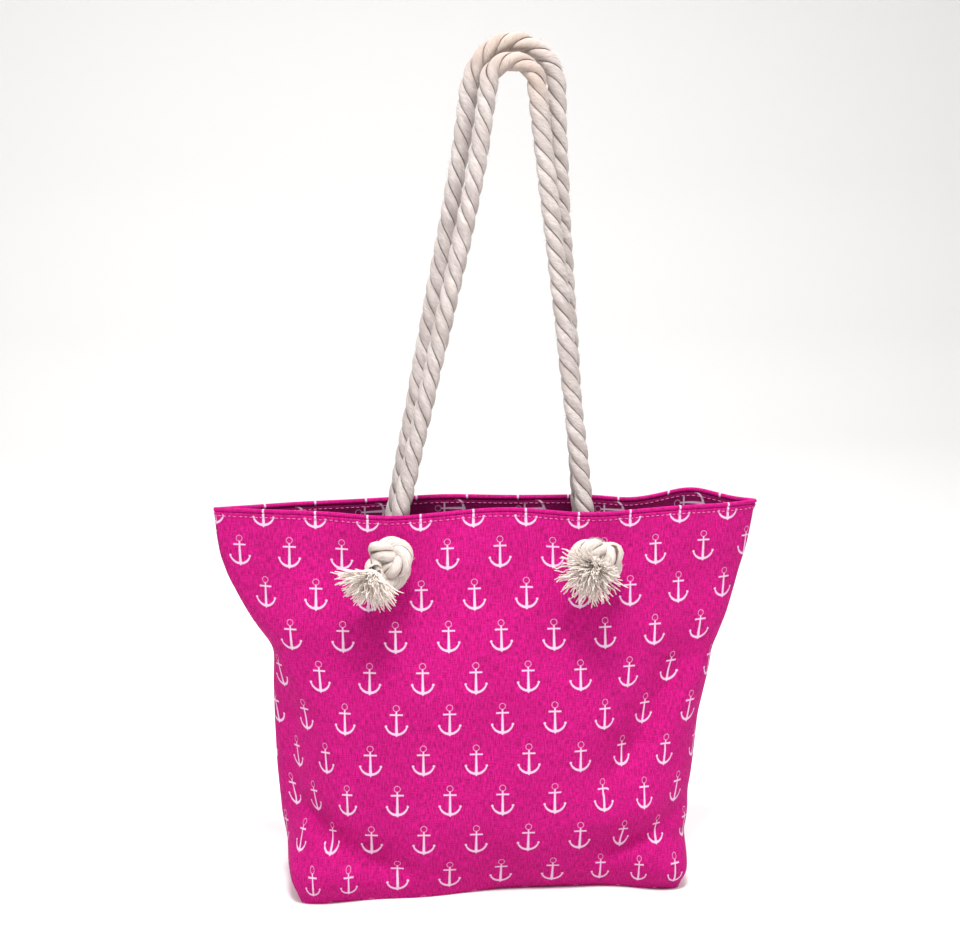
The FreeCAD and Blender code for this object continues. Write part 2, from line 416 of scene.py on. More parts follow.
def new_material(name, roughness, sheen=0.0, sheen_tint=(1.0, 1.0, 1.0, 1.0), metallic=0.0, specular=0.5):
    material = bpy.data.materials.new(name)
    material.use_nodes = True
    inputs = material.node_tree.nodes["Principled BSDF"].inputs
    inputs["Roughness"].default_value = roughness
    inputs["Sheen Weight"].default_value = sheen
    inputs["Sheen Tint"].default_value = sheen_tint
    inputs["Metallic"].default_value = metallic
    inputs["Specular IOR Level"].default_value = specular
    return material, ShaderMaths(material)


ANCHOR_PITCH = 43.1
ANCHOR_ROW = 34.1


def anchor_mask(nodes, cloth_x, cloth_y):
    """1 inside a plain ship's anchor of a staggered grid, 0 outside. Millimetres."""
    row = nodes.maths("ROUND", nodes.times(cloth_y, 1.0 / ANCHOR_ROW))
    y = nodes.subtract(cloth_y, nodes.times(row, ANCHOR_ROW))
    shifted = nodes.subtract(cloth_x, nodes.times(row, 0.5 * ANCHOR_PITCH))
    x = nodes.maths("WRAP", shifted, 0.5 * ANCHOR_PITCH, -0.5 * ANCHOR_PITCH)
    side = nodes.size(x)
    from_ring = nodes.distance(x, nodes.subtract(y, 10.3))
    ring = nodes.subtract(nodes.size(nodes.subtract(from_ring, 2.5)), 0.12)
    from_stock = nodes.size(nodes.subtract(y, 4.9))
    stock = nodes.greatest(nodes.subtract(side, 5.2), nodes.subtract(from_stock, 0.62))
    shank_half = nodes.maths("MULTIPLY_ADD", y, -0.03, 0.78)
    from_middle = nodes.size(nodes.add(y, 1.8))
    shank = nodes.greatest(nodes.subtract(side, shank_half), nodes.subtract(from_middle, 9.8))
    arm_half = nodes.maths("MULTIPLY_ADD", y, -0.07, 0.12)
    from_arms = nodes.distance(x, nodes.add(y, 2.6))
    arc = nodes.subtract(nodes.size(nodes.subtract(from_arms, 8.8)), arm_half)
    arms = nodes.greatest(arc, nodes.add(y, 5.0))
    tips = nodes.subtract(nodes.distance(nodes.subtract(side, 8.5), nodes.add(y, 4.7)), 0.95)
    slope = nodes.times(nodes.subtract(side, nodes.add(y, 13.4)), 0.7)
    crown = nodes.greatest(slope, nodes.add(y, 10.2))
    outline = nodes.least(ring, stock, shank, arms, tips, crown)
    return nodes.maths("MULTIPLY_ADD", outline, -1.8, 0.5, clamp=True)


def woven(nodes, cloth_x, cloth_y):
    """Height of a plain weave with slubs, and the slubs alone, from 0 to 1."""
    thread = math.pi / 1.1
    wander = nodes.times(nodes.noise(nodes.times(cloth_x, 0.35), nodes.times(cloth_y, 0.35)), 1.6)
    warp = nodes.size(nodes.maths("SINE", nodes.times(nodes.add(cloth_x, wander), thread)))
    weft = nodes.size(nodes.maths("SINE", nodes.times(nodes.add(cloth_y, wander), thread)))
    weave = nodes.times(nodes.add(warp, weft), 0.5)
    upright = nodes.noise(nodes.times(cloth_x, 1.1), nodes.times(cloth_y, 0.16), detail=3.0)
    level = nodes.noise(nodes.times(cloth_x, 0.22), nodes.times(cloth_y, 1.1), detail=3.0, z=7.0)
    slubs = nodes.add(nodes.times(upright, 0.6), nodes.times(level, 0.4))
    return nodes.add(nodes.times(weave, 0.6), nodes.times(slubs, 0.8)), slubs, weave


def printed_canvas(name, dark, bright, ink):
    """Pink slubby canvas with a pale anchor print."""
    pink_fuzz = (1.0, 0.35, 0.70, 1.0)
    material, nodes = new_material(name, roughness=0.88, sheen=0.05, sheen_tint=pink_fuzz, specular=0.12)
    cloth_x, cloth_y = nodes.cloth_place()
    height, slubs, weave = woven(nodes, cloth_x, cloth_y)
    tone = nodes.ranged(nodes.add(slubs, nodes.times(weave, 0.10)), 0.42, 0.69)
    ground = nodes.mixed(tone, dark, bright)
    blotch = nodes.noise(nodes.times(cloth_x, 0.02), nodes.times(cloth_y, 0.02), detail=2.0, z=3.0)
    ground = nodes.mixed(nodes.ranged(blotch, 0.35, 0.75, 0.0, 0.22), ground, dark)
    wobble = nodes.noise(nodes.times(cloth_x, 0.8), nodes.times(cloth_y, 0.8), z=11.0)
    wobble = nodes.times(nodes.subtract(wobble, 0.5), 0.5)
    mask = anchor_mask(nodes, nodes.add(cloth_x, wobble), nodes.add(cloth_y, wobble))
    cover = nodes.ranged(nodes.add(slubs, nodes.times(weave, 0.35)), 0.38, 0.62, 0.80, 1.0)
    nodes.connect(nodes.shader.inputs["Base Color"], nodes.mixed(nodes.times(mask, cover), ground, ink))
    nodes.bump(height, 0.45 * MM, 0.55)
    return material


COTTON_FUZZ = (1.0, 0.97, 0.93, 1.0)
WORN_COTTON = (0.40, 0.29, 0.22, 1.0)
WORN_PLACE = 455.0


def twisted_cotton(name, pale, shade, painted_groove_shade):
    """Undyed cotton yarns: fine lines along each strand, painted shade where strands meet, and darker where a
    hand holds.
    """
    material, nodes = new_material(name, roughness=0.9, sheen=0.25, sheen_tint=COTTON_FUZZ, specular=0.2)
    around, along = nodes.cloth_place()
    turn = nodes.times(around, MM)
    lean = nodes.times(along, 1.0 / 60.0)
    across = nodes.times(nodes.add(turn, lean), 46.0)
    line = nodes.noise(across, nodes.times(along, 0.22), detail=4.0, roughness=0.75)
    patch = nodes.noise(nodes.times(turn, 4.0), nodes.times(along, 0.045), detail=2.0, z=5.0)
    body = nodes.mixed(nodes.ranged(line, 0.36, 0.60), shade, pale)
    body = nodes.mixed(nodes.ranged(patch, 0.42, 0.62, 0.0, 0.6), body, shade)
    handled = nodes.ranged(nodes.size(nodes.add(along, -WORN_PLACE)), 10.0, 55.0, 0.5, 0.0)
    body = nodes.mixed(handled, body, WORN_COTTON)
    # Painted shade: the side of each strand that faces its neighbours and the rope's middle is darkened
    # towards the groove colour.
    inward = nodes.maths("COSINE", nodes.times(turn, FULL_TURN))
    body = nodes.mixed(nodes.ranged(inward, 0.02, 0.40, 1.0, 0.0), body, painted_groove_shade)
    nodes.connect(nodes.shader.inputs["Base Color"], body)
    nodes.bump(line, 0.6 * MM, 0.8)
    return material


def loose_yarn(name, pale, shade):
    """Cotton yarn, fuzzy and slightly uneven in colour."""
    material, nodes = new_material(name, roughness=0.93, sheen=0.3, sheen_tint=COTTON_FUZZ, specular=0.15)
    around, along = nodes.cloth_place()
    across = nodes.add(nodes.times(around, 5.0 * MM), nodes.times(along, 1.4))
    fibre = nodes.noise(across, nodes.times(along, 0.3), detail=3.0)
    colour = nodes.mixed(nodes.ranged(fibre, 0.35, 0.65), shade, pale)
    nodes.connect(nodes.shader.inputs["Base Color"], colour)
    nodes.bump(fibre, 0.2 * MM, 0.5)
    return material


def sewing_thread(name, colour, shade):
    """Two-ply thread, with its plies as slanting bands along each stitch."""
    material, nodes = new_material(name, roughness=0.6, sheen=0.2, specular=0.35)
    around, along = nodes.cloth_place()
    ply = nodes.maths("SINE", nodes.add(nodes.times(around, FULL_TURN * MM), nodes.times(along, 7.0)))
    nodes.connect(nodes.shader.inputs["Base Color"], nodes.mixed(nodes.ranged(ply, -0.6, 0.6), shade, colour))
    nodes.bump(ply, 0.1 * MM, 0.5)
    return material


def brushed_metal(name):
    """Stamped eyelet metal: satin, with fine scratches and a few dull spots."""
    material, nodes = new_material(name, roughness=0.34, metallic=1.0)
    source = nodes.tree.nodes.new("ShaderNodeTexCoord")
    split = nodes.tree.nodes.new("ShaderNodeSeparateXYZ")
    nodes.tree.links.new(source.outputs["Object"], split.inputs[0])
    x, z = split.outputs["X"], split.outputs["Z"]
    scratches = nodes.noise(nodes.times(x, 900.0), nodes.times(z, 5000.0), detail=3.0)
    spots = nodes.noise(nodes.times(x, 220.0), nodes.times(z, 220.0), z=2.0)
    colour = nodes.mixed(nodes.ranged(spots, 0.45, 0.7), (0.72, 0.70, 0.66, 1.0), (0.50, 0.47, 0.43, 1.0))
    nodes.connect(nodes.shader.inputs["Base Color"], colour)
    nodes.connect(nodes.shader.inputs["Roughness"], nodes.ranged(scratches, 0.3, 0.7, 0.26, 0.46))
    nodes.bump(scratches, 0.05 * MM, 0.4)
    return material


# Bag form: height, half width left and right, half depth front and back, boxiness left and right.
# Boxiness runs from 0, two panels that meet in a point, to 1, a rounded box.
PROFILE = np.array([
    (0.0, 160.0, 157.5, 52.0, 52.0, 1.00, 0.95),
    (4.0, 161.5, 159.0, 53.5, 53.5, 1.00, 0.92),
    (12.0, 163.5, 161.0, 55.5, 55.5, 1.00, 0.88),
    (30.0, 168.5, 164.5, 59.0, 59.0, 0.90, 0.75),
    (60.0, 174.5, 168.5, 62.0, 62.0, 0.64, 0.58),
    (100.0, 178.0, 174.0, 61.0, 62.0, 0.42, 0.46),
    (140.0, 179.5, 178.0, 59.5, 60.0, 0.38, 0.42),
    (175.0, 180.0, 186.5, 57.0, 57.0, 0.38, 0.38),
    (198.0, 179.0, 190.5, 54.0, 54.0, 0.38, 0.36),
    (206.0, 180.5, 194.5, 52.5, 52.5, 0.34, 0.33),
    (226.0, 195.5, 202.5, 48.5, 48.5, 0.30, 0.28),
    (245.0, 206.5, 208.0, 45.0, 45.0, 0.18, 0.20),
    (263.0, 216.0, 213.0, 42.5, 42.5, 0.10, 0.15),
    (282.0, 222.5, 219.0, 40.5, 40.5, 0.06, 0.14),
    (300.0, 225.0, 222.5, 38.8, 38.8, 0.03, 0.14),
    (318.0, 226.0, 225.5, 37.0, 37.0, 0.00, 0.14),
])
LENS_POWERS = (2.0, 1.0)
BOX_POWER = 4.5
BASE_SHARPNESS = 14.0
RIM = 318.0
COLUMNS = 181
SECTION_POINTS = 721

WALL_HEIGHTS = np.concatenate([
    np.arange(RIM, 24.0, -3.0),
    [24.0, 20.0, 16.5, 13.0, 10.0, 7.5, 5.2, 3.2, 1.7, 0.7, 0.0],
])
BASE_SHARES = np.linspace(0.9, 0.0, 10)


def profile_at(heights):
    """The profile's columns at each height, with its corners rounded off a little."""
    reach = np.array([-6.0, -3.0, 0.0, 3.0, 6.0])
    weight = np.array([0.1, 0.24, 0.32, 0.24, 0.1])
    spread = np.where(heights[:, None] > 14.0, reach[None, :], 0.0)
    places = np.clip(heights[:, None] + spread, 0.0, RIM)
    return [(np.interp(places, PROFILE[:, 0], PROFILE[:, k]) * weight).sum(1) for k in range(1, 7)]


def section_rows(side, heights):
    """Points, in millimetres, evenly spaced from seam to seam, and their distance from the middle."""
    left, right, front, back, box_left, box_right = profile_at(heights)
    depth = front if side == FRONT else back
    angle = np.linspace(math.pi, 0.0, SECTION_POINTS)
    rows, distances = [], []
    for k, height in enumerate(heights):
        is_right = angle < QUARTER_TURN
        box = np.where(is_right, box_right[k], box_left[k])
        width = np.where(is_right, right[k], left[k])
        box_power = BOX_POWER + BASE_SHARPNESS * (1.0 - smooth_step(height, 0.0, 45.0))
        power_x = LENS_POWERS[0] + box * (box_power - LENS_POWERS[0])
        power_y = LENS_POWERS[1] + box * (box_power - LENS_POWERS[1])
        cosine = np.cos(angle)
        x = width * np.sign(cosine) * np.abs(cosine) ** (2.0 / power_x)
        y = side * depth[k] * np.abs(np.sin(angle)) ** (2.0 / power_y)
        along = np.concatenate([[0.0], np.cumsum(np.hypot(np.diff(x), np.diff(y)))])
        middle = np.interp(0.0, x, along)
        stations = middle + np.concatenate([
            np.linspace(-middle, 0.0, COLUMNS // 2 + 1),
            np.linspace(0.0, along[-1] - middle, COLUMNS // 2 + 1)[1:],
        ])
        row = [np.interp(stations, along, x), np.interp(stations, along, y), np.full(COLUMNS, height)]
        rows.append(np.stack(row, -1))
        distances.append(stations - middle)
    return np.array(rows), np.array(distances)


def valley(x, z, line, depth, steep, gentle):
    """A fold along a line of (x, z) points: steep on the left of its way, gentle on the right."""
    deepest = np.zeros_like(x)
    line = np.array(line)
    total = np.linalg.norm(np.diff(line, axis=0), axis=1).sum()
    before = 0.0
    for start, end in zip(line, line[1:]):
        run = end - start
        length = np.linalg.norm(run)
        share = np.clip(((x - start[0]) * run[0] + (z - start[1]) * run[1]) / length ** 2, 0.0, 1.0)
        off_x = x - (start[0] + share * run[0])
        off_z = z - (start[1] + share * run[1])
        off = np.hypot(off_x, off_z)
        is_left = run[0] * off_z - run[1] * off_x > 0.0
        width = np.where(is_left, steep, gentle)
        along = (before + share * length) / total
        fade = np.minimum(1.0, 3.2 * np.minimum(along + 0.05, 1.05 - along))
        deepest = np.maximum(deepest, fade * np.exp(-((off / width) ** 2)))
        before += length
    return -depth * deepest


def bump_at(x, z, middle, width, height):
    """A rounded rise about a middle point, with its width and height."""
    return height * np.exp(-(((x - middle[0]) / width[0]) ** 2) - ((z - middle[1]) / width[1]) ** 2)


TUCKED_SPAN = {FRONT: (-25.0, 120.0), BACK: (-80.0, 70.0)}


def tucked_base(x, z, low, high):
    """How far the foot of the wall draws in, between the base's corners."""
    span = smooth_step(x, low - 45.0, low + 45.0) * (1.0 - smooth_step(x, high - 35.0, high + 35.0))
    return -15.0 * span * np.clip(1.0 - z / 62.0, 0.0, 1.0) ** 1.7


# The left facet's edge, as height and place across, and how steeply the cloth falls back beyond it.
FACET_RIDGE = [
    (40.0, -142.0), (70.0, -131.0), (110.0, -128.0), (150.0, -133.0), (175.0, -154.0), (203.0, -178.0),
]
FACET_SLOPE = 0.26


def front_folds(x, z):
    """How far the front cloth stands out from the plain form, in millimetres."""
    right_fold = [(188, 205), (160, 190), (140, 160), (124, 128), (108, 108), (84, 98)]
    out = valley(x, z, right_fold, 13.0, 10.0, 27.0)
    out += valley(x, z, [(176, 84), (150, 62), (126, 46), (98, 34), (70, 30)], 7.5, 8.0, 19.0)
    out += valley(x, z, [(-62, 20), (-84, 24), (-117, 35), (-146, 58), (-172, 84)], 11.5, 6.0, 20.0)
    out += bump_at(x, z, (-140.0, 24.0), (34.0, 20.0), 6.5)
    out += bump_at(x, z, (142.0, 16.0), (26.0, 18.0), 6.0)
    out += bump_at(x, z, (120.0, 66.0), (40.0, 22.0), 8.0)
    ridge = np.interp(z, *np.transpose(FACET_RIDGE))
    fade = smooth_step(z, 35.0, 70.0) * (1.0 - smooth_step(z, 196.0, 210.0))
    out -= FACET_SLOPE * fade * np.maximum(0.0, ridge - x)
    out += bump_at(x, z, (-20.0, 170.0), (90.0, 60.0), 3.5)
    out += 1.5 * np.sin(FULL_TURN * x / 74.0 + 0.9 + z / 120.0) * smooth_step(z, 110.0, 290.0)
    return out


def back_folds(x, z):
    """How far the back cloth stands out from the plain form, in millimetres."""
    out = valley(x, z, [(-186, 198), (-158, 150), (-128, 104), (-84, 84)], 6.0, 26.0, 12.0)
    out += valley(x, z, [(184, 196), (160, 140), (140, 98), (108, 70)], 5.0, 13.0, 24.0)
    out += valley(x, z, [(-60, 30), (-112, 36), (-150, 58)], 4.0, 14.0, 6.0)
    out += bump_at(x, z, (-138.0, 18.0), (30.0, 18.0), 4.0)
    out += bump_at(x, z, (140.0, 20.0), (30.0, 20.0), 4.0)
    return out


# The seeds of each panel's random waves.
FRONT_WAVES, BACK_WAVES = 4, 9


def soft_waves(x, z, seed):
    """Low, broad unevenness, in millimetres."""
    waves = np.zeros_like(x)
    local = np.random.default_rng(seed)
    for _ in range(9):
        length = local.uniform(55.0, 150.0)
        turn = local.uniform(0.0, math.pi)
        shift = local.uniform(0.0, FULL_TURN)
        waves += np.sin(FULL_TURN * (x * math.cos(turn) + 0.6 * z * math.sin(turn)) / length + shift)
    return 0.42 * waves


def rim_shift(side, x, z):
    """How the rim waves: up and down, and in and out, fading down the bag."""
    fade = np.exp(-(RIM - z) / 42.0)
    if side == FRONT:
        up = bump_at(x, 0.0, (-84.0, 0.0), (42.0, 1.0), -3.5)
        up += bump_at(x, 0.0, (84.0, 0.0), (40.0, 1.0), -3.0)
        up += bump_at(x, 0.0, (8.0, 0.0), (45.0, 1.0), 2.0)
        out = bump_at(x, 0.0, (5.0, 0.0), (48.0, 1.0), -6.0)
    else:
        up = bump_at(x, 0.0, (176.0, 0.0), (24.0, 1.0), 6.5)
        up += bump_at(x, 0.0, (122.0, 0.0), (24.0, 1.0), -3.0)
        up += bump_at(x, 0.0, (-30.0, 0.0), (50.0, 1.0), 2.0)
        out = bump_at(x, 0.0, (0.0, 0.0), (50.0, 1.0), -4.0) + bump_at(x, 0.0, (150.0, 0.0), (40.0, 1.0), 3.0)
    return up * fade, out * fade


def grid_normals(points, side):
    """Outward normals of a grid of rows that run downwards."""
    down = np.gradient(points, axis=0)
    across = np.gradient(points, axis=1)
    normals = unit(np.cross(down, across))
    outward = normals[len(normals) // 3, COLUMNS // 2, 1] * side
    return normals * (1.0 if outward > 0.0 else -1.0)


EYELET_LEAN = (0.1113, 0.9869, 0.1168)
EYELET_SET_BACK = 1.6
EYELET_HOLE = 10.6


def eyelet_plane(place):
    """A point on the cloth under the eyelet, and the eyelet's outward direction, in millimetres."""
    low, high = (np.array(corner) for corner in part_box(place + "_eyelet"))
    middle = 0.5 * (low + high) / MM
    normal = np.array(EYELET_LEAN) * np.sign([middle[0], middle[1], 1.0])
    return middle + EYELET_SET_BACK * normal, normal


def settle_on_eyelets(points, name):
    """Lays the cloth flat under the eyelets' flanges."""
    for hand in ("left", "right"):
        centre, normal = eyelet_plane(name + "_" + hand)
        away = points - centre
        height = away @ normal
        apart = np.linalg.norm(away - height[..., None] * normal, axis=-1)
        near = 1.0 - smooth_step(apart, 15.0, 42.0)
        near = near * (np.abs(height) < 30.0)
        points = points - (near * height)[..., None] * normal
    return points


def panel_grid(name, side):
    """The outer cloth of one panel: points, cloth coordinates and normals, in millimetres."""
    rows, distances = section_rows(side, WALL_HEIGHTS)
    normals = grid_normals(rows, side)
    x, z = rows[..., 0], rows[..., 2]
    if side == FRONT:
        out = front_folds(x, z) + soft_waves(x, z, FRONT_WAVES)
    else:
        out = back_folds(x, z) + soft_waves(x, z, BACK_WAVES)
    from_seam = np.minimum(distances - distances[:, :1], distances[:, -1:] - distances)
    calm_rim = 1.0 - 0.6 * smooth_step(z, 270.0, RIM)
    out *= smooth_step(from_seam, 0.0, 34.0) * smooth_step(z, 1.0, 16.0) * calm_rim
    rows = rows + normals * out[..., None]
    low, high = TUCKED_SPAN[side]
    rows[..., 1] += side * tucked_base(x, z, low, high)
    rows[..., 1] += side * bump_at(x, z, (-150.0, 0.0), (34.0, 26.0), 7.0) * smooth_step(from_seam, 8.0, 50.0)
    up, outwards = rim_shift(side, x, z)
    hold = smooth_step(from_seam, 0.0, 30.0)
    rows[..., 2] += up * hold
    rows[..., 1] += side * outwards * hold
    rows = settle_on_eyelets(rows, name)
    edge = rows[-1]
    base = np.array([edge * (1.0, share, 0.0) for share in BASE_SHARES])
    points = np.concatenate([rows, base])
    middle = points[:, COLUMNS // 2]
    fall = np.concatenate([[0.0], np.cumsum(np.linalg.norm(np.diff(middle, axis=0), axis=1))])
    distances = np.concatenate([distances, np.repeat(distances[-1:], len(base), 0)])
    across = distances + leaning_grain(distances, points[..., 2])
    cloth = np.stack([across, np.broadcast_to(-fall[:, None], distances.shape)], -1)
    return points, cloth, grid_normals(points, side)


def leaning_grain(distances, z):
    """How far the grain of the cloth leans over in the side facets, in millimetres."""
    fall = np.clip(205.0 - z, 0.0, 175.0)
    on_left = 1.0 - smooth_step(distances, -205.0, -105.0)
    on_right = smooth_step(distances, 70.0, 200.0)
    return 0.24 * fall * (on_right - on_left)


def cloth_object(name, points, cloth, material, thickness, holes, side):
    """A sheet of cloth over a grid, with round holes and a real thickness."""
    faces = grid_faces(*points.shape[:2])
    if side == FRONT:
        faces = faces[:, ::-1]
    flat = points.reshape(-1, 3)
    centres = flat[faces].mean(1)
    keep = np.ones(len(faces), dtype=bool)
    for centre, normal in holes:
        away = centres - centre
        height = away @ normal
        apart = np.linalg.norm(away - height[:, None] * normal, axis=-1)
        keep &= ~((apart < EYELET_HOLE) & (np.abs(height) < 12.0))
    obj = new_object(name, flat * MM, faces[keep], material, cloth.reshape(-1, 2) * MM)
    solid = obj.modifiers.new("thickness", "SOLIDIFY")
    solid.thickness = thickness * MM
    solid.offset = -1.0
    solid.use_even_offset = False
    return obj


add_camera()
bpy.context.scene.view_settings.view_transform = "Standard"

# The groove colours below are painted shade, put where the rope's strands press on each other.
rope_cotton = twisted_cotton(
    "rope_cotton",
    pale=(0.62, 0.57, 0.55, 1.0),
    shade=(0.36, 0.305, 0.29, 1.0),
    painted_groove_shade=(0.07, 0.04, 0.035, 1.0),
)
knot_cotton = twisted_cotton(
    "knot_cotton",
    pale=(0.76, 0.71, 0.67, 1.0),
    shade=(0.50, 0.43, 0.39, 1.0),
    painted_groove_shade=(0.13, 0.08, 0.06, 1.0),
)
canvas = printed_canvas(
    "printed_canvas",
    dark=(0.27, 0.003, 0.095, 1.0), bright=(0.61, 0.008, 0.225, 1.0), ink=(0.70, 0.50, 0.67, 1.0),
)
# The lining is the same printed canvas with its colours darkened: painted shade for the inside of the bag.
shade_darkened_lining = printed_canvas(
    "printed_lining",
    dark=(0.095, 0.0012, 0.034, 1.0), bright=(0.21, 0.003, 0.08, 1.0), ink=(0.48, 0.35, 0.45, 1.0),
)
seam_tape = printed_canvas(
    "seam_tape",
    dark=(0.42, 0.010, 0.15, 1.0), bright=(0.68, 0.024, 0.28, 1.0), ink=(0.86, 0.72, 0.80, 1.0),
)
thread = sewing_thread("pink_thread", colour=(0.78, 0.18, 0.44, 1.0), shade=(0.56, 0.09, 0.28, 1.0))
yarn = loose_yarn("frayed_yarn", pale=(0.88, 0.83, 0.78, 1.0), shade=(0.60, 0.52, 0.46, 1.0))
metal = brushed_metal("eyelet_metal")

ropes = {}
for name, route, phase in (("front", FRONT_ROUTE, 0.4), ("back", BACK_ROUTE, 2.1)):
    line = nurbs_points(name + "_rope_line", route)
    rope = rope_object(
        name + "_rope", line, ROPE_DIAMETER, ROPE_LAY, rope_cotton, phase, HANDLE_FIBRES, HANDLE_FIBRES_ABOVE
    )
    ropes[name] = (rope, line)


# Bag shell

CANVAS_THICK = 1.2
LINING_THICK = 0.7
LINING_OFFSET = 1.3
# The hem's section, out from the edge and up from it: the fold's lip, its rounded top and its inside.
HEM_PROFILE = np.array([
    (-0.50, -4.6), (0.10, -3.9), (0.02, -2.9), (0.55, -1.8),
    (0.75, -0.8), (0.30, 0.0), (-0.50, 0.4), (0.60, 0.9),
    (1.25, 1.9), (0.95, 3.1), (0.00, 3.9), (-1.40, 4.0),
    (-2.60, 3.2), (-3.00, 2.0), (-2.60, 0.8), (-1.60, -0.2),
])
HEM_COLUMNS = 421
PRINT_RIGHT = 15.1
PRINT_DOWN = 2.0
LINING_PRINT = (8.0, 39.0)


def groove_edges(points, side):
    """Pulls the cloth in a little where the two panels are sewn to each other."""
    points = points.copy()
    points[:, 0, 0] += 0.8
    points[:, -1, 0] -= 0.8
    points[:, (0, -1), 1] = side * 0.15
    points[-1, :, 1] = side * 0.15
    points[-1, :, 2] += 0.8
    return points


def panel_pieces(name, side):
    """One panel's grid, and its canvas and lining as objects."""
    points, cloth, normals = panel_grid(name, side)
    turned = np.stack([cloth[..., 1] + LINING_PRINT[0], LINING_PRINT[1] - cloth[..., 0]], -1)
    cloth = cloth + (PRINT_RIGHT, PRINT_DOWN - HEM_PROFILE[:, 1].max())
    holes = [eyelet_plane(name + "_" + hand) for hand in ("left", "right")]
    grooved = groove_edges(points, side)
    outer = cloth_object(name + "_canvas", grooved, cloth, canvas, CANVAS_THICK, holes, side)
    inner_points = points - normals * LINING_OFFSET
    inner_points[..., 1] = side * np.maximum(side * inner_points[..., 1], 0.4)
    inner_points[..., 2] = np.maximum(inner_points[..., 2], 1.6)
    inner = cloth_object(
        name + "_shade_darkened_lining", inner_points, turned, shade_darkened_lining, LINING_THICK, holes, side,
    )
    return points, cloth, normals, outer, inner


def rim_frame(points, cloth, normals, columns):
    """The panel's top edge, its cloth place, and its outward and upward directions, at more columns."""
    old = np.linspace(0.0, 1.0, points.shape[1])
    new = np.linspace(0.0, 1.0, columns)

    def finer(values):
        return np.stack([np.interp(new, old, values[:, k]) for k in range(values.shape[1])], 1)

    edge = finer(points[0])
    upward = unit(finer(points[0] - points[3]))
    outward = finer(normals[1])
    outward = unit(outward - upward * (outward * upward).sum(1, keepdims=True))
    return edge, finer(cloth[0]), outward, upward


def hem_object(name, side, edge, place, outward, upward):
    """The rolled rim, which puckers between its stitches."""
    pucker = 0.12 * np.sin(FULL_TURN * place[:, 0] / STITCH_PERIOD)
    rings = []
    for out, up in HEM_PROFILE:
        puffed = out + pucker * (1.0 if out > -0.9 else -1.0) * (up < 3.0)
        rings.append(edge + outward * puffed[:, None] + upward * up)
    rings = np.stack(rings, 1)
    rings[..., 1] = side * np.maximum(side * rings[..., 1], 0.15)
    uvs = np.stack([np.broadcast_to(place[:, :1], rings.shape[:2]), place[:, 1:2] + HEM_PROFILE[:, 1]], -1)
    faces = grid_faces(len(rings), len(HEM_PROFILE), closed=True)
    return new_object(name, rings.reshape(-1, 3) * MM, faces, canvas, uvs.reshape(-1, 2) * MM)


STITCH_PERIOD = 4.5
STITCH_LENGTH = 3.2
STITCH_RADIUS = 0.36
STITCH_SIDES = 8
STITCH_HEIGHT = -2.9


def stitch_rings(centre, heading, outward, jitter):
    """One stitch: a short thread that dips into the cloth at both ends."""
    across = np.cross(heading, outward)
    stations = np.linspace(-0.5, 0.5, 7)
    around = np.linspace(0.0, FULL_TURN, STITCH_SIDES, endpoint=False)
    rings = []
    for station in stations:
        rise = 0.30 - 2.6 * station ** 2
        radius = STITCH_RADIUS * math.sqrt(max(0.08, 1.0 - (1.9 * station) ** 4))
        middle = centre + heading * station * STITCH_LENGTH * jitter + outward * rise
        rings.append(middle + radius * (np.cos(around)[:, None] * outward + np.sin(around)[:, None] * across))
    return np.array(rings)


def stitching_object(name, edge, outward, upward):
    """Rows of stitches along the rim, on its outside and its inside."""
    along = np.concatenate([[0.0], np.cumsum(np.linalg.norm(np.diff(edge, axis=0), axis=1))])
    stations = np.arange(4.0, along[-1] - 4.0, STITCH_PERIOD)
    heading = unit(np.gradient(edge, axis=0))
    parts = []
    for station in stations:
        k = int(np.searchsorted(along, station))
        for face_out, facing in ((0.02, 1.0), (-2.10, -1.0)):
            centre = edge[k] + outward[k] * face_out + upward[k] * (STITCH_HEIGHT + rng.uniform(-0.15, 0.15))
            rings = stitch_rings(centre, heading[k], facing * outward[k], rng.uniform(0.9, 1.06))
            faces = grid_faces(len(rings), STITCH_SIDES, closed=True)
            turn = np.broadcast_to(np.linspace(0.0, 1.0, STITCH_SIDES), rings.shape[:2])
            length = np.broadcast_to(np.linspace(0.0, STITCH_LENGTH, len(rings))[:, None], rings.shape[:2])
            parts.append((rings.reshape(-1, 3), faces, np.stack([turn, length], -1).reshape(-1, 2)))
    points, faces, uvs = side_by_side(parts)
    return new_object(name, points * MM, faces, thread, uvs * MM)


SEAM_WIDTH = 8.0
SEAM_HEIGHT = 1.45
CORNER_REACH = 40.0


def seam_object(name, line, inward):
    """A folded seam allowance between canvas and lining: a thin strip that stands in from the seam."""
    line, along = evenly_spaced(line, 3.0)
    inward = np.array(inward, dtype=float)
    shares = np.array([0.0, 0.25, 0.5, 0.75, 1.0])
    rows = line[:, None, :] + inward * (SEAM_WIDTH * shares)[:, None]
    cloth = np.stack([
        np.broadcast_to(along[:, None], rows.shape[:2]),
        np.broadcast_to(SEAM_WIDTH * shares, rows.shape[:2]),
    ], -1)
    faces = grid_faces(*rows.shape[:2])
    obj = new_object(name, rows.reshape(-1, 3) * MM, faces, seam_tape, cloth.reshape(-1, 2) * MM)
    solid = obj.modifiers.new("thickness", "SOLIDIFY")
    solid.thickness = 0.35 * MM
    solid.offset = 0.0
    return obj


seam_lines = {}
for name, side in (("front", FRONT), ("back", BACK)):
    points, cloth, normals, outer, inner = panel_pieces(name, side)
    edge, place, outward, upward = rim_frame(points, cloth, normals, HEM_COLUMNS)
    hem = hem_object(name + "_hem_cloth", side, edge, place, outward, upward)
    stitches = stitching_object(name + "_topstitch", edge, outward, upward)
    seam_lines[name] = points
    for piece, node, slot in (
        (outer, "_panel", "printed_canvas"),
        (inner, "_lining", "printed_lining"),
        (hem, "_rim_hem", "printed_canvas"),
        (stitches, "_rim_stitching", "thread"),
    ):
        stand_in(piece, slot, name + node)

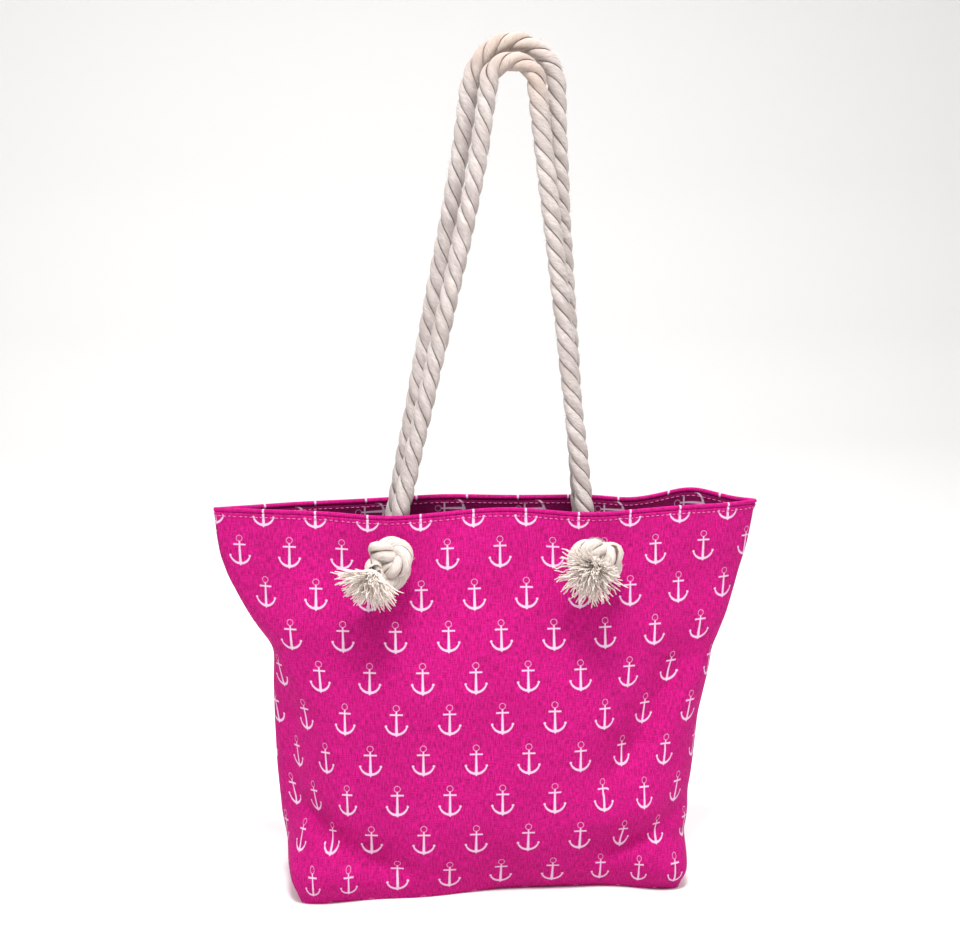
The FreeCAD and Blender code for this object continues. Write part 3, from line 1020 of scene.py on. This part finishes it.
wall_rows = len(WALL_HEIGHTS)
for hand, column, inward in (("left", 0, 1.0), ("right", -1, -1.0)):
    side_line = seam_lines["front"][:wall_rows, column] * (1.0, 0.0, 1.0) + (inward * 1.6, 0.0, 0.0)
    seam = seam_object(hand + "_side_seam_allowance", side_line[1:-4], (inward * 0.4, 0.0, 0.0))
    stand_in(seam, "seam_allowance", hand + "_side_seam")
    corner_x = seam_lines["front"][wall_rows, column, 0] + inward * 6.0
    corner_line = np.array([(corner_x, y, SEAM_HEIGHT) for y in (-CORNER_REACH, 0.0, CORNER_REACH)])
    corner = seam_object(hand + "_corner_seam_allowance", corner_line, (inward, 0.0, 0.0))
    stand_in(corner, "seam_allowance", hand + "_corner_seam")
base_line = seam_lines["front"][-1, 4:-4] * (1.0, 0.0, 0.0) + (0.0, -0.5 * SEAM_WIDTH, SEAM_HEIGHT)
base = seam_object("base_seam_allowance", base_line[:: len(base_line) - 1], (0.0, 1.0, 0.0))
stand_in(base, "seam_allowance", "base_seam")


# Knots and frayed ends

KNOT_LAY = 34.0 * MM
KNOT_FIBRES = 220
KNOT_MAJOR = 10.8 * MM
KNOT_MINOR = 5.4 * MM
# The way each knot faces, its turn about that way, its shift, and its frayed end's way and root.
KNOTS = {
    "front_left": ((-0.2, -1.0, 0.1), 0.3, (-2.0, -3.0, -2.0), (-9.0, -13.0, -17.0), (-10.0, -12.0, -6.0)),
    "front_right": ((0.1, -1.0, 0.1), 2.0, (-1.5, -3.0, -0.5), (-8.0, -16.0, -6.0), (-5.0, -12.0, -6.0)),
    "back_left": ((0.0, 1.0, 0.1), 1.0, (0.0, 3.0, 0.5), (-7.0, 12.0, -20.0), (-3.0, 8.0, -8.0)),
    "back_right": ((0.1, 1.0, 0.1), 2.6, (0.0, 3.0, 0.5), (9.0, 10.0, -20.0), (3.0, 8.0, -8.0)),
}
KNOT_START = 0.35
KNOT_END = FULL_TURN - 0.55


def knot_middle(place):
    low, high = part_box(place + "_knot")
    return 0.5 * (np.array(low) + np.array(high)) + np.array(KNOTS[place][2]) * MM


def knot_line(place):
    """An overhand knot: in from the eyelet, round a trefoil's turns, and out to the frayed end."""
    facing, turn, _, _, root = KNOTS[place]
    axis = unit(np.array(facing))
    right = unit(np.cross(axis, (0.0, 0.0, 1.0)))
    up = np.cross(right, axis)
    t = np.linspace(KNOT_START, KNOT_END, 26)
    reach = KNOT_MAJOR + KNOT_MINOR * np.cos(3.0 * t)
    around = 2.0 * t + turn
    middle = knot_middle(place)
    line = (
        middle
        + right * (1.12 * reach * np.cos(around))[:, None]
        + up * (reach * np.sin(around))[:, None]
        + axis * (1.15 * KNOT_MINOR * np.sin(3.0 * t))[:, None]
    )
    centre, normal = eyelet_plane(place)
    start = (centre + normal) * MM
    end = middle + np.array(root) * MM
    return np.concatenate([[start], line, [end]])


YARN_SIDES = 6
YARN_POINTS = 12
YARN_CLEAR = 2.5 * MM
YARNS = 230


def yarn_line(root, way, right, up, share):
    """A loose yarn's way out of the rope's end: it fans out, curls a little and droops."""
    angle = rng.uniform(0.0, FULL_TURN)
    spread = math.sqrt(rng.uniform(0.0, 1.0))
    radial = right * math.cos(angle) + up * math.sin(angle)
    length = rng.uniform(0.018, 0.030)
    lean = math.radians(86.0) * spread * (0.45 + 0.55 * share) + rng.uniform(-0.2, 0.2)
    heading = way * np.cos(lean)[:, None] + radial * np.sin(lean)[:, None]
    heading[:, 2] -= 0.25 * share
    heading = unit(heading)
    steps = np.diff(share, prepend=0.0) * length
    line = root + radial * spread * 6.5 * MM + np.cumsum(heading * steps[:, None], axis=0)
    curl = rng.uniform(0.5, 1.9) * MM * share
    phase = FULL_TURN * rng.uniform(0.8, 2.2) * share + rng.uniform(0.0, FULL_TURN)
    return line + right * (curl * np.sin(phase))[:, None] + up * (curl * np.cos(phase))[:, None]


def frayed_object(name, place, root, way):
    """Loose yarns that spread from the end of the rope, clear of the cloth."""
    right = unit(np.cross(way, (0.0, 0.0, 1.0)))
    up = np.cross(right, way)
    around = np.linspace(0.0, FULL_TURN, YARN_SIDES, endpoint=False)
    share = np.linspace(0.0, 1.0, YARN_POINTS)
    centre, normal = eyelet_plane(place)
    faces = grid_faces(YARN_POINTS, YARN_SIDES, closed=True)
    parts = []
    for _ in range(YARNS):
        line = yarn_line(root, way, right, up, share)
        height = (line - centre * MM) @ normal
        line = line + np.maximum(0.0, YARN_CLEAR - height)[:, None] * normal
        _, first, second = carried_axes(line)
        radius = rng.uniform(0.5, 0.72) * MM * (1.0 - 0.5 * share ** 6)
        ring = tube_rings(line, first, second, around, radius)
        turns = np.broadcast_to(around / FULL_TURN, ring.shape[:2])
        lengths = np.broadcast_to((share * 24.0 * MM)[:, None], ring.shape[:2])
        parts.append((ring.reshape(-1, 3), faces, np.stack([turns, lengths], -1).reshape(-1, 2)))
    vertices, faces, uvs = side_by_side(parts)
    return new_object(name, vertices, faces, yarn, uvs)


for place in PLACES:
    smooth = nurbs_points(place + "_knot_line", knot_line(place).tolist())
    knot = rope_object(
        place + "_overhand_knot", smooth, ROPE_DIAMETER, KNOT_LAY, knot_cotton, 1.0, KNOT_FIBRES,
    )
    way, root = (np.array(numbers) for numbers in KNOTS[place][3:])
    frayed = frayed_object(place + "_frayed_end", place, knot_middle(place) + root * MM, unit(way))
    stand_in(knot, "cotton_rope", place + "_knot")
    stand_in(frayed, "frayed_cotton", place + "_tassel")
    for part in ("_eyelet", "_eyelet_washer"):
        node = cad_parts[place + part]
        for k in range(len(node.material_slots)):
            node.material_slots[k].material = metal

# Each handle rope's placement is baked into its mesh, and the frame's rope pieces that it replaces are
# hidden.
for name, side, length in (("front", FRONT, 0.888), ("back", BACK, 0.928)):
    rope, line = ropes[name]
    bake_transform(rope)
    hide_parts(name + "_handle_rope", name + "_left_rope_end", name + "_right_rope_end")


# Floor and light

def add_backdrop():
    """A pale floor that curves up into a pale wall behind the object."""
    depths = [-4.0, 1.6, 2.0, 2.3, 2.5, 2.6, 2.6]
    heights = [0.0, 0.0, 0.06, 0.24, 0.55, 1.1, 6.0]
    rows = [[(x, y, z - 0.0005) for x in (-6.0, 6.0)] for y, z in zip(depths, heights)]
    material = bpy.data.materials.new("pale_backdrop")
    material.use_nodes = True
    inputs = material.node_tree.nodes["Principled BSDF"].inputs
    inputs["Base Color"].default_value = (0.9, 0.895, 0.89, 1.0)
    inputs["Roughness"].default_value = 0.8
    inputs["Specular IOR Level"].default_value = 0.1
    backdrop = new_object("backdrop", np.array(rows).reshape(-1, 3), grid_faces(len(rows), 2), material)


add_backdrop()
add_lights()
